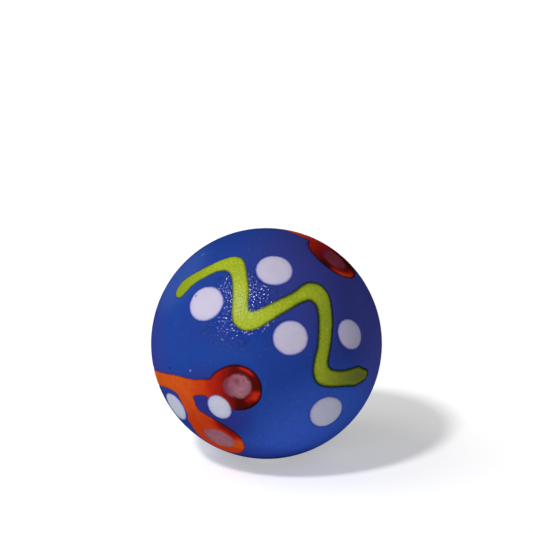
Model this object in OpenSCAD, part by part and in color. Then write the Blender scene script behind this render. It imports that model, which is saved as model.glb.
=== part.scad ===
// Handmade glass marble: a clear core cased in blue glass, with opaque and
// see-through glass dots, threads and branches melted in flush with the surface.
// Millimetres, +Z up, origin at the ball's centre. Azimuth 0 faces -Y, azimuth 90 faces +X.

/* [Ball] */
// Diameter of the finished ball
ball_d = 25; // [22:0.5:42]
// Thickness of the blue casing over the clear core
casing_t = 4; // [2.5:0.25:6]

/* [White dots] */
// Width of a large white dot
dot_w = 4.1; // [3:0.1:4.5]
// Width of a small white dot
small_dot_w = 3.1; // [2:0.1:3.5]
// Depth that a white dot reaches below the surface
dot_depth = 0.9; // [0.6:0.1:1.4]

/* [Green threads] */
// Width of a green thread
thread_w = 2.0; // [1.4:0.1:2.4]
// Depth that a green thread reaches below the surface
thread_depth = 0.7; // [0.5:0.1:1]
// Radius of the tight side of a green thread's bends
bend_inner_r = 0.2; // [0.15:0.05:0.6]

/* [Red branches] */
// Width of a branch's stem
stem_w = 2.0; // [1.4:0.1:2.4]
// Width of a branch at its fork and below its blobs
neck_w = 2.5; // [2:0.1:3]
// Width of the round blob that ends each limb
blob_w = 5.2; // [4.6:0.1:5.8]
// Depth that stems and necks reach below the surface
stem_depth = 0.8; // [0.6:0.1:1.1]
// Depth that a blob reaches below the surface
blob_depth = 1.5; // [1.2:0.1:2]

/* [Eyes] */
// Width of the pale eye in the middle of a blob
eye_w = 3.1; // [2:0.1:3.6]
// Depth that an eye reaches below the surface
eye_depth = 0.5; // [0.3:0.1:0.8]

/* [Hidden] */
// Facets of the inlays' own curves, and of the curves that are as large as the ball
$fn = 96;
ball_fn = 256;

ball_r = ball_d / 2;
core_r = ball_r - casing_t;

// How far the walls of runs and of joints are drawn past the ball's surface and past a bed's floor,
// before they are cut off there. The two differ, so that no end of a run grazes a joint
run_over = 1;
run_under = 0.6;
joint_over = 0.5;
joint_under = 0.3;
// How much slimmer a straight run is than the joints at its ends, which then cover its ends
slim = 0.96;
// How far a straight run reaches past the middle of a joint, or into a bend
lap = 0.2;
// The least change of direction that gets a round bend. A smaller one gets a round post
least_turn = 45;

// Every round inlay is [azimuth, elevation, width, depth]
function dot(az, el) = [az, el, dot_w, dot_depth];
function small_dot(az, el) = [az, el, small_dot_w, dot_depth];
function stem(az, el) = [az, el, stem_w, stem_depth];
function neck(az, el) = [az, el, neck_w, stem_depth];
function blob(az, el) = [az, el, blob_w, blob_depth];

// White dots, those on the face first
DOTS = [
    dot(8, 59), dot(-40, 36), dot(13, 22), small_dot(49, 18),
    dot(-60, -23), dot(33, -20), small_dot(-25, -15),
    dot(108, 22), dot(82, -52), dot(10, -82), dot(-92, -52),
    dot(-118, 30), small_dot(165, 8), dot(-142, 10), dot(178, -66)
];

// Corners of the green threads: [azimuth, elevation]
FRONT_THREAD = [[-66, 34], [-61, 42], [-24, 69], [-14, 25], [48, 48], [35, 19], [26, -1], [57, -5]];
BACK_THREAD = [[94, -12], [112, 2], [118, -42], [152, -10], [166, -46], [-158, -18], [-148, -44]];

// Red branches: the fork, and the joints of each limb from the fork to its blob
LOW_FORK = neck(-50, -11);
LOW_LIMBS = [
    [neck(-31, -6), blob(-14, -3)],
    [neck(-47, -24), neck(-39, -32), blob(-33, -39)],
    [stem(-68, -13), stem(-88, -17), neck(-105, -14), blob(-121, -8)]
];
HIGH_FORK = neck(158, 62);
HIGH_LIMBS = [
    [stem(122, 69), neck(92, 64), blob(83, 54)],
    [neck(149, 48), blob(140, 36)],
    [neck(-172, 58), blob(-150, 46)]
];

function eye_name(branch, i) = str("eye_", branch, "_", i + 1);
function dot_name(i) = str("white_dot_", i < 9 ? "0" : "", i + 1);

// Directions from the ball's centre
function unit(v) = v / norm(v);
function facing(place) = [cos(place[1]) * sin(place[0]), -cos(place[1]) * cos(place[0]), sin(place[1])];
// The part of v that is square to axis, at length 1
function square_to(v, axis) = unit(v - (v * axis) * axis);
// Angle from a to b round axis, from 0 to 360
function turn_about(axis, a, b) =
    let (from = square_to(a, axis), to = square_to(b, axis), angle = atan2(cross(from, to) * axis, from * to))
    angle < 0 ? angle + 360 : angle;

// The round underside of an inlay that is w wide at the ball's surface and depth deep:
// its radius, and the distance of its centre from the ball's centre
function sagitta(w) = ball_r - sqrt(ball_r * ball_r - w * w / 4);
function under_r(w, depth) = let (h = depth - sagitta(w)) (w * w / 4 + h * h) / (2 * h);
function under_at(w, depth) = ball_r - depth + under_r(w, depth);

// Turns +Z to an inlay's place on the ball
module at_place(inlay) {
    rotate([90 - inlay[1], 0, inlay[0]])
        children();
}

// Space of one round inlay, not yet cut off at the ball's surface
module pool(inlay) {
    at_place(inlay)
        translate([0, 0, under_at(inlay[2], inlay[3])])
            sphere(under_r(inlay[2], inlay[3]));
}

// The finished ball's outside
module ball() {
    sphere(ball_r, $fn = ball_fn);
}

// Round inlay that is cut off flush with the ball
module flush_pool(inlay) {
    at_place(inlay)
        intersection() {
            translate([0, 0, under_at(inlay[2], inlay[3])])
                sphere(under_r(inlay[2], inlay[3]));
            ball();
        }
}

// The angle between a bend's axis and its middle line
bend_angle = asin((bend_inner_r + thread_w / 2) / ball_r);

// Leaves only what lies above a floor that follows the ball's surface at the given depth
module above_floor(depth) {
    difference() {
        children();
        sphere(ball_r - depth, $fn = ball_fn);
    }
}

// Round post through the ball's surface, as wide as the inlay
module post(inlay) {
    at_place(inlay)
        translate([0, 0, ball_r - inlay[3] - joint_under])
            cylinder(h = inlay[3] + joint_under + joint_over, d = inlay[2]);
}

// Turns +Z to axis and +X towards start
module on_axis(axis, start) {
    x = square_to(start, axis);
    y = cross(axis, x);
    multmatrix([[x[0], y[0], axis[0], 0], [x[1], y[1], axis[1], 0], [x[2], y[2], axis[2], 0], [0, 0, 0, 1]])
        children();
}

// Straight run of thread: a flat-sided wedge along the great circle round axis, from start through sweep
module thread_run(axis, start, sweep) {
    low = ball_r - thread_depth - run_under;
    high = ball_r + run_over;
    on_axis(axis, start)
        linear_extrude(thread_w * slim, center = true)
            polygon([
                polar(low, 0), polar(high, 0), polar(high / cos(sweep / 2), sweep / 2),
                polar(high, sweep), polar(low, sweep)
            ]);
}
function polar(r, angle) = [r * cos(angle), r * sin(angle)];

// Bend of thread: a cone-walled ring round axis, from start through sweep
module thread_bend(axis, start, sweep) {
    low = (ball_r - thread_depth - joint_under) * cos(bend_angle);
    high = ball_r + joint_over;
    on_axis(axis, start)
        rotate_extrude(angle = sweep)
            polygon([bend_wall(low, -1), bend_wall(low, 1), bend_wall(high, 1), bend_wall(high, -1)]);
}
// Point at height z on a bend's outer wall, where side is 1, or its inner wall, where side is -1
function bend_wall(z, side) = [z * tan(bend_angle) + side * thread_w / 2 / cos(bend_angle), z];

// How far a path of directions turns at corner i, where a left turn is positive
function turn_at(path, i) = turn_about(path[i], path[i - 1], path[i + 1]) - 180;
function is_bend(path, i) = i > 0 && i < len(path) - 1 && abs(turn_at(path, i)) > least_turn;
// The bend at corner i: [axis, first tangent point, second tangent point]
function bend(path, i) =
    let (
        into = unit(cross(path[i - 1], path[i])),
        out = unit(cross(path[i], path[i + 1])),
        side = turn_at(path, i) > 0 ? 1 : -1,
        share = sin(bend_angle) * side / (1 + into * out),
        axis = unit(share * (into + out) + sqrt(1 - 2 * share * share * (1 + into * out)) * path[i])
    )
    [axis, square_to(axis, into), square_to(axis, out)];

// Space of a thread along great circles between the corners, with round bends and ends
module thread_space(corners) {
    path = [for (c = corners) facing(c)];
    lap_angle = lap / ball_r * 180 / PI;
    above_floor(thread_depth) {
        for (i = [0 : len(path) - 2]) {
            axis = unit(cross(path[i], path[i + 1]));
            from = is_bend(path, i) ? bend(path, i)[2] : path[i];
            to = is_bend(path, i + 1) ? bend(path, i + 1)[1] : path[i + 1];
            back = i > 0 ? lap_angle : 0;
            ahead = i < len(path) - 2 ? lap_angle : 0;
            start = cos(back) * from - sin(back) * cross(axis, from);
            thread_run(axis, start, turn_about(axis, from, to) + back + ahead);
        }
        for (i = [0 : len(path) - 1]) {
            if (is_bend(path, i)) {
                b = bend(path, i);
                start = turn_at(path, i) > 0 ? b[1] : b[2];
                end = turn_at(path, i) > 0 ? b[2] : b[1];
                thread_bend(b[0], start, turn_about(b[0], start, end));
            } else {
                post([corners[i][0], corners[i][1], thread_w, thread_depth]);
            }
        }
    }
}

// Space of a branch: a post at each joint, a taper from each joint to the next, and a pool at each limb's end
module branch_space(fork, limbs) {
    above_floor(stem_depth) {
        post(fork);
        for (limb = limbs) {
            for (i = [0 : len(limb) - 1])
                taper(i == 0 ? fork : limb[i - 1], limb[i]);
            for (i = [0 : len(limb) - 2])
                post(limb[i]);
        }
    }
    for (limb = limbs)
        pool(limb[len(limb) - 1]);
}

// Flat-sided run between two joints, no wider than a neck at either end
module taper(a, b) {
    low = ball_r - stem_depth - run_under;
    middle = unit(facing(a) + facing(b));
    half_l = norm(facing(b) - facing(a)) * ball_r / 2 + lap;
    half_a = min(a[2], neck_w) * slim / 2;
    half_b = min(b[2], neck_w) * slim / 2;
    on_axis(middle, facing(b))
        translate([0, 0, low])
            linear_extrude(ball_r + run_over - low)
                polygon([[-half_l, -half_a], [half_l, -half_b], [half_l, half_b], [-half_l, half_a]]);
}

// The eye in the blob at the end of a limb
function eye_in(limb) = let (blob = limb[len(limb) - 1]) [blob[0], blob[1], eye_w, eye_depth];

// Spaces of all the dots, eyes and threads
module dot_spaces() {
    for (d = DOTS)
        pool(d);
}

module eye_spaces() {
    for (limb = concat(LOW_LIMBS, HIGH_LIMBS))
        pool(eye_in(limb));
}

module thread_spaces() {
    thread_space(FRONT_THREAD);
    thread_space(BACK_THREAD);
}

// Clear glass gather in the middle
module core() {
    color("gainsboro")
        sphere(core_r, $fn = ball_fn);
}

// Blue glass over the core, with a bed for every inlay, cut layer by layer
module casing() {
    color("royalblue")
        difference() {
            difference() {
                difference() {
                    ball();
                    sphere(core_r, $fn = ball_fn);
                    branch_space(LOW_FORK, LOW_LIMBS);
                    branch_space(HIGH_FORK, HIGH_LIMBS);
                }
                thread_spaces();
            }
            dot_spaces();
        }
}

// Green glass thread, flush with the ball, with beds for the dots laid over it
module green_thread(corners) {
    color("yellowgreen")
        intersection() {
            difference() {
                thread_space(corners);
                dot_spaces();
            }
            ball();
        }
}

// Red glass branch, flush with the ball, with beds for its eyes and for what is laid over it
module red_branch(fork, limbs) {
    color("orangered")
        intersection() {
            difference() {
                branch_space(fork, limbs);
                eye_spaces();
                dot_spaces();
                thread_spaces();
            }
            ball();
        }
}

// Pale glass eye in the blob at the end of a limb, with a bed for any dot laid over it
module eye(limb) {
    color("rosybrown")
        difference() {
            flush_pool(eye_in(limb));
            dot_spaces();
        }
}

// White glass dot
module white_dot(d) {
    color("lavender")
        flush_pool(d);
}

core();
casing();
green_thread(FRONT_THREAD);  // green_thread_front
green_thread(BACK_THREAD);  // green_thread_back
red_branch(LOW_FORK, LOW_LIMBS);  // red_branch_low
red_branch(HIGH_FORK, HIGH_LIMBS);  // red_branch_high
for (i = [0 : len(LOW_LIMBS) - 1])
    eye(LOW_LIMBS[i]);
for (i = [0 : len(HIGH_LIMBS) - 1])
    eye(HIGH_LIMBS[i]);
for (i = [0 : len(DOTS) - 1])
    white_dot(DOTS[i]);
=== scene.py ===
"""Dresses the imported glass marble: a blue casing with white dots, green threads and
red branches with pale eyes, each melted in flush as a piece of its own."""

import logging
import math
from dataclasses import dataclass
from enum import Enum
from typing import Any, Callable, Iterable, Optional, Sequence, Union

import bmesh
import bpy
from mathutils import Matrix, Vector, geometry, kdtree


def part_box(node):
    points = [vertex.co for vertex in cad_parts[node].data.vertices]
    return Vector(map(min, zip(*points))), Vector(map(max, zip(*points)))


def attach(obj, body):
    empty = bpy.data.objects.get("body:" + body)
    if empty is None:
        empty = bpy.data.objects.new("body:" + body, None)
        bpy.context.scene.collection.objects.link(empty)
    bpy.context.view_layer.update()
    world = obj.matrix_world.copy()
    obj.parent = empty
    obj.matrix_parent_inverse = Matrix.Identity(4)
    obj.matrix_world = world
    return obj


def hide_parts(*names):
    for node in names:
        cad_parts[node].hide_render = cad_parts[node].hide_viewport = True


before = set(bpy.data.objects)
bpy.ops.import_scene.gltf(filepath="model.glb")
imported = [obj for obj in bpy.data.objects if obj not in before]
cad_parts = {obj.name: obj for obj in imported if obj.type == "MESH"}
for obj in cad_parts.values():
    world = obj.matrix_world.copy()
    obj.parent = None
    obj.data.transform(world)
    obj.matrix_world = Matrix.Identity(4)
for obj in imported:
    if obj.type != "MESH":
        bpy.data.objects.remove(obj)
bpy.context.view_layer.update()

LOG = logging.getLogger("marble")

# Pieces are shaped in millimetres and brought to metres at the end. Edges shorter than SLIVER merge
MM = 0.001
BALL_R = min(abs(side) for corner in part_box("casing") for side in corner) / MM
CORE_R = max(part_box("core")[1]) / MM
SLIVER = 0.004

Piece = bpy.types.Object
Socket = bpy.types.NodeSocket
Material = bpy.types.Material
Colour = tuple[float, float, float]
# A middle value and how far noise moves it
Swing = tuple[float, float]
Operand = Union["Number", float]


class Cut(Enum):
    """What a Boolean keeps of a piece."""

    INSIDE = "INTERSECT"
    OUTSIDE = "DIFFERENCE"


class Slot(Enum):
    """The record's material slots."""

    CLEAR = "clear_glass"
    BLUE = "blue_glass"
    GREEN = "green_glass"
    RED = "red_glass"
    PINK = "pink_glass"
    WHITE = "white_glass"


# Places and pools on the ball


@dataclass(frozen=True)
class Place:
    """A spot on the ball.

    Args:
        az: Azimuth in degrees, 0 towards the viewer (-Y) and 90 towards +X.
        el: Elevation in degrees.
    """

    az: float
    el: float

    def facing(self) -> Vector:
        """The direction from the ball's centre."""
        az, el = math.radians(self.az), math.radians(self.el)
        return Vector((math.cos(el) * math.sin(az), -math.cos(el) * math.cos(az), math.sin(el)))

    def turn(self) -> Matrix:
        """The turn that brings +Z here and +Y towards the ball's top."""
        return Matrix.Rotation(math.radians(self.az), 4, "Z") @ Matrix.Rotation(
            math.radians(90 - self.el), 4, "X"
        )


@dataclass(frozen=True)
class Pool:
    """A round pool of glass that is let into the ball.

    Args:
        place: Its middle.
        width: Width at the ball's surface, in millimetres.
        depth: Depth below the surface, in millimetres.
    """

    place: Place
    width: float
    depth: float

    def under_radius(self) -> float:
        """The radius of the round underside."""
        half = self.width / 2
        drop = self.depth - (BALL_R - math.sqrt(BALL_R**2 - half**2))
        return (half**2 + drop**2) / (2 * drop)

    def height(self) -> float:
        """The distance of the underside's centre from the ball's centre."""
        return BALL_R - self.depth + self.under_radius()

    def centre(self) -> Vector:
        """The underside's centre."""
        return self.place.facing() * self.height()

    def covers(self, point: Vector, margin: float) -> bool:
        """Whether a point lies on the pool or within a margin round it."""
        return (point - self.place.facing() * BALL_R).length < self.width / 2 + margin

    def spot(self, point: Vector) -> tuple[float, float]:
        """A point's place on the pool.

        Args:
            point: A point near the ball's surface.

        Returns:
            Its angle in degrees, clockwise from the top seen from outside, and its
            distance from the middle, as a share of the radius.
        """
        out = self.place.facing()
        up = Vector((0, 0, 1))
        up = (up - out * up.dot(out)).normalized()
        away = (point.normalized() - out).length * BALL_R
        angle = math.degrees(math.atan2(point.dot(up.cross(out)), point.dot(up)))
        return angle, away / (self.width / 2)


# The glass is satin without gloss, and fire-polished round one place of the ball
SATIN_GLOSS = 0.0
POLISHED = Place(-18, 38)
# Cosines of the angles from there at which the polish ends and is full
POLISH_ENDS, POLISH_FULL = 0.88, 0.965


# Work at the bench: one wrapper for each operator that is used often


def pick(piece: Piece) -> None:
    """Selects one object alone and makes it active."""
    bpy.ops.object.select_all(action="DESELECT")
    piece.select_set(True)
    bpy.context.view_layer.objects.active = piece


def settle(piece: Piece) -> None:
    """Brings an object's place, turn and scale into its mesh."""
    pick(piece)
    bpy.ops.object.transform_apply(location=True, rotation=True, scale=True)


def discard(pieces: Iterable[Piece]) -> None:
    """Deletes helper objects with their meshes."""
    for piece in pieces:
        mesh = piece.data
        bpy.data.objects.remove(piece)
        bpy.data.meshes.remove(mesh)


def modify(piece: Piece, kind: str, **settings: Any) -> None:
    """Adds a modifier and applies it.

    Args:
        piece: The object to change.
        kind: The modifier's type.
        settings: The modifier's own settings.
    """
    pick(piece)
    modifier = piece.modifiers.new(kind.title(), kind)
    for name, value in settings.items():
        setattr(modifier, name, value)
    bpy.ops.object.modifier_apply(modifier=modifier.name)


def cut(piece: Piece, tool: Piece, keep: Cut) -> None:
    """Cuts a piece with another closed object, which stays as it is."""
    modify(piece, "BOOLEAN", object=tool, operation=keep.value, solver="MANIFOLD")


def copy_of(piece: Piece, name: str) -> Piece:
    """Copies an object together with its mesh.

    Args:
        piece: The object to copy.
        name: The copy's name.

    Returns:
        The copy.
    """
    pick(piece)
    bpy.ops.object.duplicate(linked=False)
    twin = bpy.context.active_object
    twin.name = name
    return twin


def bead(name: str, radius: float, centre: Vector, level: int = 4) -> Piece:
    """Adds a ball of glass to start a form from.

    Args:
        name: The object's name.
        radius: Its radius in millimetres.
        centre: Its centre.
        level: How finely it is divided.

    Returns:
        The new object, with its place in its mesh.
    """
    bpy.ops.object.select_all(action="DESELECT")
    bpy.ops.mesh.primitive_ico_sphere_add(subdivisions=level, radius=radius, location=centre)
    made = bpy.context.active_object
    made.name = name
    settle(made)
    return made


def pool_bead(name: str, pool: Pool, level: int = 4) -> Piece:
    """Adds the bead that gives a pool its underside."""
    return bead(name, pool.under_radius(), pool.centre(), level)


def drawn_rod(name: str, stations: Sequence[Pool]) -> Piece:
    """Draws a round rod of glass through stations on the ball, with round ends.

    Args:
        name: The object's name.
        stations: The rod's width and depth along its way.

    Returns:
        The rod, with its end beads, as one mesh of overlapping closed shells.
    """
    bpy.ops.object.select_all(action="DESELECT")
    bpy.ops.curve.primitive_nurbs_path_add()
    rod = bpy.context.active_object
    rod.name = name
    shape = rod.data
    shape.splines.clear()
    line = shape.splines.new("NURBS")
    line.points.add(len(stations) - 1)
    for point, station in zip(line.points, stations):
        point.co = (*station.centre(), 1)
        point.radius = station.under_radius()
    line.order_u = 3
    line.use_endpoint_u = True
    line.resolution_u = 6
    shape.dimensions = "3D"
    shape.bevel_depth = 1
    shape.bevel_resolution = 5
    shape.use_fill_caps = True
    rod.location = (0, 0, 0)
    bpy.ops.object.convert(target="MESH")
    ends = [pool_bead(f"{name}_end", station) for station in (stations[0], stations[-1])]
    return joined([rod, *ends])


def joined(parts: Sequence[Piece]) -> Piece:
    """Joins objects into the first one."""
    pick(parts[0])
    for part in parts[1:]:
        part.select_set(True)
    bpy.ops.object.join()
    return parts[0]


def melt(form: Piece, voxel: float, passes: int) -> None:
    """Melts overlapping shells into one skin and lets it flow.

    Args:
        form: The object to melt.
        voxel: Size of the skin's cells, in millimetres.
        passes: How long it flows, which rounds forks and inner corners.
    """
    modify(form, "REMESH", mode="VOXEL", voxel_size=voxel)
    modify(form, "SMOOTH", factor=0.5, iterations=passes)


def hand_wobble(form: Piece, size: float, strength: float) -> None:
    """Gives a form the slight unevenness of hand work.

    Args:
        form: The object to change.
        size: Size of the swellings, in millimetres.
        strength: Their height, in millimetres.
    """
    swell = bpy.data.textures.new("hand_wobble", "CLOUDS")
    swell.noise_scale = size
    swell.noise_depth = 1
    modify(form, "DISPLACE", texture=swell, texture_coords="LOCAL", strength=strength, mid_level=0.5)
    bpy.data.textures.remove(swell)


def clean(piece: Piece) -> None:
    """Merges the slivers that a cut leaves and makes every face a triangle.

    Args:
        piece: The object to clean.
    """
    pick(piece)
    bpy.ops.object.mode_set(mode="EDIT")
    bpy.ops.mesh.select_all(action="SELECT")
    bpy.ops.mesh.dissolve_degenerate(threshold=SLIVER)
    bpy.ops.mesh.quads_convert_to_tris(quad_method="BEAUTY", ngon_method="BEAUTY")
    bpy.ops.object.mode_set(mode="OBJECT")


class Rim:
    """The line where a piece's polished top ends, and distances from it."""

    # A vertex this close to the ball's surface, in millimetres, is on the top
    ON_TOP = 0.003

    def __init__(self, piece: Piece) -> None:
        """Finds the rim of a piece that was cut flush with the ball.

        Args:
            piece: The object, shaped in millimetres.
        """
        self.shape = bmesh.new()
        self.shape.from_mesh(piece.data)
        self.shape.verts.ensure_lookup_table()
        self.top = [vert.co.length > BALL_R - self.ON_TOP for vert in self.shape.verts]
        self.edges: dict[int, list[tuple[Vector, Vector]]] = {}
        for edge in self.shape.edges:
            flush = [all(self.top[v.index] for v in face.verts) for face in edge.link_faces]
            if any(flush) and not all(flush):
                ends = (edge.verts[0].co.copy(), edge.verts[1].co.copy())
                for vert in edge.verts:
                    self.edges.setdefault(vert.index, []).append(ends)
        self.tree = kdtree.KDTree(len(self.edges))
        self.points = [self.shape.verts[index].co.copy() for index in self.edges]
        for index, point in zip(self.edges, self.points):
            self.tree.insert(point, index)
        self.tree.balance()

    def distance(self, point: Vector, near: float = 1.0) -> float:
        """How far a point lies from the rim.

        Args:
            point: The point.
            near: Up to this distance, the answer is exact.

        Returns:
            The distance in millimetres.
        """
        _, index, found = self.tree.find(point)
        if found > near:
            return found
        for _, index, _ in self.tree.find_n(point, 3):
            for start, end in self.edges[index]:
                foot, share = geometry.intersect_point_line(point, start, end)
                if 0 <= share <= 1:
                    found = min(found, (foot - point).length)
        return found


def write_mark(piece: Piece, name: str, values: Sequence[float]) -> None:
    """Gives each of a piece's points a value, for its glass to read."""
    piece.data.attributes.new(name, "FLOAT", "POINT").data.foreach_set("value", values)


def tree_of(points: Sequence[Vector]) -> kdtree.KDTree:
    """Sorts points, to find the nearest one fast."""
    tree = kdtree.KDTree(len(points))
    for index, point in enumerate(points):
        tree.insert(point, index)
    tree.balance()
    return tree


def ease_rim(piece: Piece, dip: float, reach: float, still: Sequence[Pool] = ()) -> list[Vector]:
    """Lowers a piece's top along its rim, and marks each point's distance from the rim.

    Args:
        piece: The object, shaped in millimetres and cut flush with the ball.
        dip: How deep the rim lies below the ball's surface.
        reach: How far from the rim the top is lowered.
        still: Pools whose own rims stay level.

    Returns:
        The points of the rim.
    """
    rim = Rim(piece)
    marks = []
    for vert, mesh_vert, on_top in zip(rim.shape.verts, piece.data.vertices, rim.top):
        away = rim.distance(vert.co) if on_top else 0.0
        marks.append(away)
        if on_top and not any(pool.covers(vert.co, reach) for pool in still):
            drop = dip * math.exp(-((away / reach) ** 2))
            mesh_vert.co = vert.co * (1 - drop / BALL_R)
    write_mark(piece, "rim", marks)
    rim.shape.free()
    return rim.points


# Edges that turn by more than this angle, in degrees, stay sharp
SHARP = 20


def polish(piece: Piece) -> None:
    """Smooths a finished piece's shading and brings it from millimetres to metres."""
    pick(piece)
    bpy.ops.object.shade_smooth_by_angle(angle=math.radians(SHARP))
    modify(piece, "WEIGHTED_NORMAL", mode="FACE_AREA", keep_sharp=True)
    piece.scale = (MM, MM, MM)
    settle(piece)


# Shader work: numbers as Python expressions, all other nodes from one method


def maths(operation: str, swapped: bool = False) -> Callable[["Number", Operand], "Number"]:
    """Makes the method that stands for one Math operation.

    Args:
        operation: The Math node's operation.
        swapped: Whether the number comes second.

    Returns:
        The method.
    """

    def method(self: "Number", other: Operand) -> "Number":
        """Adds the Math node."""
        first, second = (other, self) if swapped else (self, other)
        return self.work.number("ShaderNodeMath", {"operation": operation}, {0: first, 1: second})

    return method


class Number:
    """A number socket in a node tree, which takes part in Python expressions."""

    def __init__(self, work: "NodeWork", socket: Socket) -> None:
        """Wraps a socket.

        Args:
            work: The node tree that the socket is in.
            socket: An output socket that gives a number.
        """
        self.work = work
        self.socket = socket

    __add__ = __radd__ = maths("ADD")
    __sub__ = maths("SUBTRACT")
    __rsub__ = maths("SUBTRACT", swapped=True)
    __mul__ = __rmul__ = maths("MULTIPLY")
    __truediv__ = maths("DIVIDE")
    __gt__ = maths("GREATER_THAN")


Input = Union[Number, Socket, float, tuple]
Inputs = dict[Union[str, int], Input]


class NodeWork:
    """One material's node tree, under construction."""

    # Shares of a speck's and of a soft mark's radius within which it is full
    SPECK_CORE, MARK_CORE = 0.5, 0.4

    def __init__(self, tree: bpy.types.NodeTree) -> None:
        """Starts on an emptied node tree.

        Args:
            tree: The node tree to fill.
        """
        self.tree = tree
        tree.nodes.clear()

    def node(self, kind: str, settings: dict[str, Any], sockets: Inputs) -> bpy.types.Node:
        """Adds a node.

        Args:
            kind: The node's type.
            settings: Its own settings, set first. "stops" fills a colour ramp.
            sockets: Values or links of its inputs, by name or number.

        Returns:
            The node.
        """
        made = self.tree.nodes.new(kind)
        for name, value in settings.items():
            if name == "stops":
                self._fill_ramp(made.color_ramp, value)
            else:
                setattr(made, name, value)
        for name, value in sockets.items():
            if isinstance(value, Number):
                value = value.socket
            if isinstance(value, Socket):
                self.tree.links.new(value, made.inputs[name])
            else:
                made.inputs[name].default_value = value
        return made

    def number(
        self, kind: str, settings: dict[str, Any], sockets: Inputs, output: Union[str, int] = 0
    ) -> Number:
        """Adds a node and takes one of its outputs as a number."""
        return Number(self, self.node(kind, settings, sockets).outputs[output])

    @staticmethod
    def _fill_ramp(ramp: bpy.types.ColorRamp, stops: Sequence[tuple[float, Colour]]) -> None:
        """Sets a colour ramp's stops."""
        while len(ramp.elements) < len(stops):
            ramp.elements.new(1.0)
        for element, (position, colour) in zip(ramp.elements, stops):
            element.position = position
            element.color = (*colour, 1.0)

    def where(self) -> Socket:
        """The Object coordinates, in metres."""
        return self.node("ShaderNodeTexCoord", {}, {}).outputs["Object"]

    def axis(self, name: str) -> Number:
        """One Object coordinate, in metres."""
        return self.number("ShaderNodeSeparateXYZ", {}, {"Vector": self.where()}, name)

    def mark(self, name: str) -> Number:
        """A piece's own attribute."""
        return self.number("ShaderNodeAttribute", {"attribute_name": name}, {}, "Fac")

    def noise(self, size: float, detail: float = 2.0, turn: float = 0.0) -> Number:
        """Noise from about 0.25 to 0.75.

        Args:
            size: Size of its lumps, in millimetres.
            detail: Its octaves beyond the first.
            turn: Warp of the lumps.

        Returns:
            The noise.
        """
        lumps = {"Scale": 1 / (size * MM), "Detail": detail, "Distortion": turn}
        return self.number("ShaderNodeTexNoise", {}, {"Vector": self.where(), **lumps})

    def ease(self, value: Number, low: float, high: float, share: float = 1.0) -> Number:
        """Rises smoothly from 0 at low to a share at high."""
        span = {"Value": value, "From Min": low, "From Max": high}
        risen = self.number("ShaderNodeMapRange", {"interpolation_type": "SMOOTHSTEP"}, span, "Result")
        return risen if share == 1.0 else risen * share

    def fade(self, value: Number, low: float, high: float, share: float = 1.0) -> Number:
        """Falls smoothly from a share at low to 0 at high."""
        return share - self.ease(value, low, high, share)

    def across(self, axis: str, low: float, high: float, share: float = 1.0) -> Number:
        """Rises along an axis, from 0 at low to a share at high, in millimetres."""
        return self.ease(self.axis(axis), low * MM, high * MM, share)

    @staticmethod
    def stir(value: Number, noise: Number, amount: float) -> Number:
        """Shifts a value by noise, up and down by up to about a quarter of the amount."""
        return value + (noise - 0.5) * amount

    def cells(self, spacing: float) -> bpy.types.Node:
        """Scattered cells, about a spacing in millimetres apart."""
        grid = {"Vector": self.where(), "Scale": 1 / (spacing * MM)}
        return self.node("ShaderNodeTexVoronoi", {}, grid)

    def specks(self, spacing: float, size: float, share: float) -> Number:
        """Scattered specks, 1 on a speck and 0 elsewhere.

        Args:
            spacing: Distance of the cells that may hold a speck, in millimetres.
            size: Radius of a speck, in millimetres.
            share: The share of cells without a speck.

        Returns:
            The mask.
        """
        cells = self.cells(spacing)
        chance = self.number("ShaderNodeSeparateColor", {}, {"Color": cells.outputs["Color"]}, "Red")
        spread = Number(self, cells.outputs["Distance"])
        return self.fade(spread, self.SPECK_CORE * size / spacing, size / spacing) * (chance > share)

    def dimples(self, spacing: float) -> Number:
        """Round dimples side by side, 0 in the middle of each and about 0.4 between them.

        Args:
            spacing: Their distance, in millimetres.

        Returns:
            The relief.
        """
        spread = Number(self, self.cells(spacing).outputs["Distance"])
        return spread * spread

    def blend(self, share: Operand, first: Input, second: Input) -> Socket:
        """Mixes two colours."""
        ends = {0: share, 6: self._rgba(first), 7: self._rgba(second)}
        return self.node("ShaderNodeMix", {"data_type": "RGBA"}, ends).outputs[2]

    @staticmethod
    def _rgba(colour: Input) -> Input:
        """Adds the alpha that a colour socket takes."""
        return (*colour, 1.0) if isinstance(colour, tuple) else colour

    def ramp(self, value: Number, stops: Sequence[tuple[float, Colour]]) -> Socket:
        """Turns a number into a colour."""
        return self.node("ShaderNodeValToRGB", {"stops": stops}, {"Fac": value}).outputs["Color"]

    def bump(self, height: Number, depth: float) -> Socket:
        """A surface normal.

        Args:
            height: The relief.
            depth: Its depth in millimetres for a relief of 1.

        Returns:
            The normal.
        """
        relief = {"Strength": 1.0, "Distance": depth * MM, "Height": height}
        return self.node("ShaderNodeBump", {}, relief).outputs["Normal"]

    def near(self, place: Place, size: float) -> Number:
        """A soft round mark on the ball.

        Args:
            place: Its middle.
            size: Its radius, in millimetres.

        Returns:
            1 in its middle and 0 outside it.
        """
        ends = {0: self.where(), 1: tuple(place.facing() * BALL_R * MM)}
        away = self.number("ShaderNodeVectorMath", {"operation": "DISTANCE"}, ends, "Value")
        return self.fade(away, self.MARK_CORE * size * MM, size * MM)

    def along(self, place: Place) -> Number:
        """How far a point lies towards a place, from -1 to 1."""
        ends = {0: self.where(), 1: tuple(place.facing() / (BALL_R * MM))}
        return self.number("ShaderNodeVectorMath", {"operation": "DOT_PRODUCT"}, ends, "Value")

    def polished(self) -> Number:
        """Where the glass is polished: 1 there, and 0 where it is satin."""
        return self.ease(self.along(POLISHED), POLISH_ENDS, POLISH_FULL)

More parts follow.
